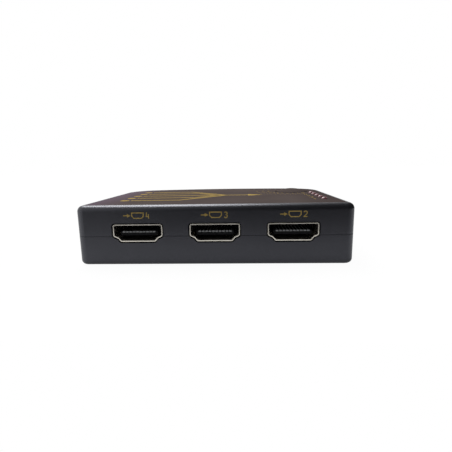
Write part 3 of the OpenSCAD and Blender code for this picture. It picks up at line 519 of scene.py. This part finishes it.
def make_floor():
    mesh = bpy.data.meshes.new("floor")
    half = TABLE_W / 2
    corners = [(-half, TABLE_FRONT), (half, TABLE_FRONT), (half, TABLE_BACK), (-half, TABLE_BACK)]
    mesh.from_pydata([(x, y, -0.00002) for x, y in corners], [], [(0, 1, 2, 3)])
    floor = bpy.data.objects.new("floor", mesh)
    scene.collection.objects.link(floor)
    material = bpy.data.materials.new("pale_floor")
    material.use_nodes = True
    tree = material.node_tree
    bsdf = tree.nodes["Principled BSDF"]
    bsdf.inputs["Base Color"].default_value = (0.8, 0.8, 0.8, 1)
    bsdf.inputs["Roughness"].default_value = 0.9
    bsdf.inputs["Specular IOR Level"].default_value = 0.0
    glow = tree.nodes.new("ShaderNodeEmission")
    glow.inputs["Color"].default_value = (1, 1, 1, 1)
    glow.inputs["Strength"].default_value = 1.01
    mix = tree.nodes.new("ShaderNodeMixShader")
    tree.links.new(floor_white(tree), mix.inputs["Fac"])
    tree.links.new(bsdf.outputs["BSDF"], mix.inputs[1])
    tree.links.new(glow.outputs["Emission"], mix.inputs[2])
    tree.links.new(mix.outputs["Shader"], tree.nodes["Material Output"].inputs["Surface"])
    mesh.materials.append(material)


# Mirrors see white screens in these directions, and a dark room away from them
BACKDROP_TO = Vector((-0.45, 0.89, 0.0))
REFLECTOR_TO = Vector((-0.87, -0.3, 0.39))
ROOM = 0.02


def screen(tree, direction, white, edge):
    """Brightness of a screen in one direction, which fades to the dark room over its edge."""
    coord = tree.nodes.new("ShaderNodeTexCoord")
    towards = tree.nodes.new("ShaderNodeVectorMath")
    towards.operation = "DOT_PRODUCT"
    towards.inputs[1].default_value = direction
    tree.links.new(coord.outputs["Generated"], towards.inputs[0])
    return spread(tree, towards.outputs["Value"], ROOM, white, edge)


def make_world():
    """Even light for matt surfaces, and a white backdrop to look at."""
    world = bpy.data.worlds.new("studio")
    world.use_nodes = True
    tree = world.node_tree
    light = tree.nodes["Background"]
    light.inputs["Color"].default_value = (0.94, 0.97, 1.0, 1)
    light.inputs["Strength"].default_value = 0.35
    backdrop = tree.nodes.new("ShaderNodeBackground")
    backdrop.inputs["Color"].default_value = (1, 1, 1, 1)
    path = tree.nodes.new("ShaderNodeLightPath")
    strength = combine(
        tree,
        "MAXIMUM",
        path.outputs["Is Camera Ray"],
        screen(tree, BACKDROP_TO, 1.0, (0.2, 1.0)),
        screen(tree, REFLECTOR_TO, 1.0, (0.6, 0.8)),
    )
    tree.links.new(strength, backdrop.inputs["Strength"])
    mix = tree.nodes.new("ShaderNodeMixShader")
    tree.links.new(to_eye(tree), mix.inputs["Fac"])
    tree.links.new(light.outputs["Background"], mix.inputs[1])
    tree.links.new(backdrop.outputs["Background"], mix.inputs[2])
    tree.links.new(mix.outputs["Shader"], tree.nodes["World Output"].inputs["Surface"])
    scene.world = world


def soft_box(name, at, aim, size, watts):
    """A rectangular area light that faces a point."""
    data = bpy.data.lights.new(name, "AREA")
    data.shape = "RECTANGLE"
    data.size, data.size_y = size
    data.energy = watts
    lamp = bpy.data.objects.new(name, data)
    lamp.location = at
    lamp.rotation_mode = "QUATERNION"
    lamp.rotation_quaternion = (Vector(aim) - Vector(at)).to_track_quat("-Z", "Y")
    scene.collection.objects.link(lamp)


IMAGE_PX = 452
FOCAL_PX = 334.0
SENSOR_MM = 36.0
CAMERA_AT = Vector((7.866, -124.517, 29.404)) * MM
CAMERA_PITCH = math.radians(10.683)
CAMERA_YAW = math.radians(-2.559)
CAMERA_ROLL = math.radians(1.029)


def make_camera():
    """A camera set by pitch below the horizon, yaw from +Y towards +X, and roll about its axis."""
    ahead = Vector((
        math.sin(CAMERA_YAW) * math.cos(CAMERA_PITCH),
        math.cos(CAMERA_YAW) * math.cos(CAMERA_PITCH),
        -math.sin(CAMERA_PITCH),
    ))
    level = Vector((math.cos(CAMERA_YAW), -math.sin(CAMERA_YAW), 0))
    down = ahead.cross(level)
    right = math.cos(CAMERA_ROLL) * level + math.sin(CAMERA_ROLL) * down
    below = -math.sin(CAMERA_ROLL) * level + math.cos(CAMERA_ROLL) * down
    data = bpy.data.cameras.new("camera")
    data.sensor_width = SENSOR_MM
    data.lens = SENSOR_MM * FOCAL_PX / IMAGE_PX
    data.clip_start = 0.001
    data.clip_end = 20
    camera = bpy.data.objects.new("camera", data)
    turn = Matrix((right, -below, -ahead)).transposed().to_4x4()
    camera.matrix_world = Matrix.Translation(CAMERA_AT) @ turn
    scene.collection.objects.link(camera)
    scene.camera = camera


make_floor()
make_world()
soft_box("window", (-0.107, 0.16, 0.37), (-0.02, 0, 0), (0.26, 0.30), 2.1)
make_camera()
scene.view_settings.view_transform = "Standard"
